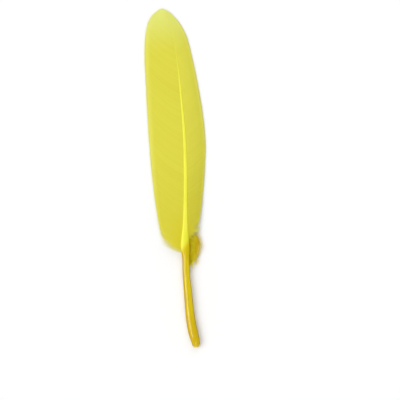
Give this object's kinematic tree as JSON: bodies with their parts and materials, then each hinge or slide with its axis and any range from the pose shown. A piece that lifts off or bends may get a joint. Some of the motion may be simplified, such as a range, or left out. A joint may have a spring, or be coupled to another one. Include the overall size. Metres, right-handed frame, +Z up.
{
  "type": "goose quill feather",
  "caption": "Yellow-dyed goose quill feather lying flat, outer face up: a hollow horn quill and rachis, a broad vane, a narrow vane and a tuft of down at its foot.",
  "frame": {"origin": "middle of the feather's footprint, on the surface it lies on", "axes": "+Y from the end of the quill to the tip, +Z up, away from the surface, +X from the broad vane to the narrow vane"},
  "size_m": [0.0252, 0.14, 0.0037],
  "materials": {
    "dyed_horn": "amber-yellow dyed horn, smooth and slightly see-through in the quill, opaque and pale in the rachis",
    "dyed_barbs": "lemon-yellow dyed barbs zipped into a smooth, matt sheet with a faint slanting grain",
    "dyed_down": "olive-yellow dyed down, loose and fluffy"
  },
  "bodies": {
    "root": {"quill_shaft": "dyed_horn", "broad_vane": "dyed_barbs", "narrow_vane": "dyed_barbs", "down_tuft": "dyed_down"}
  },
  "joints": []
}
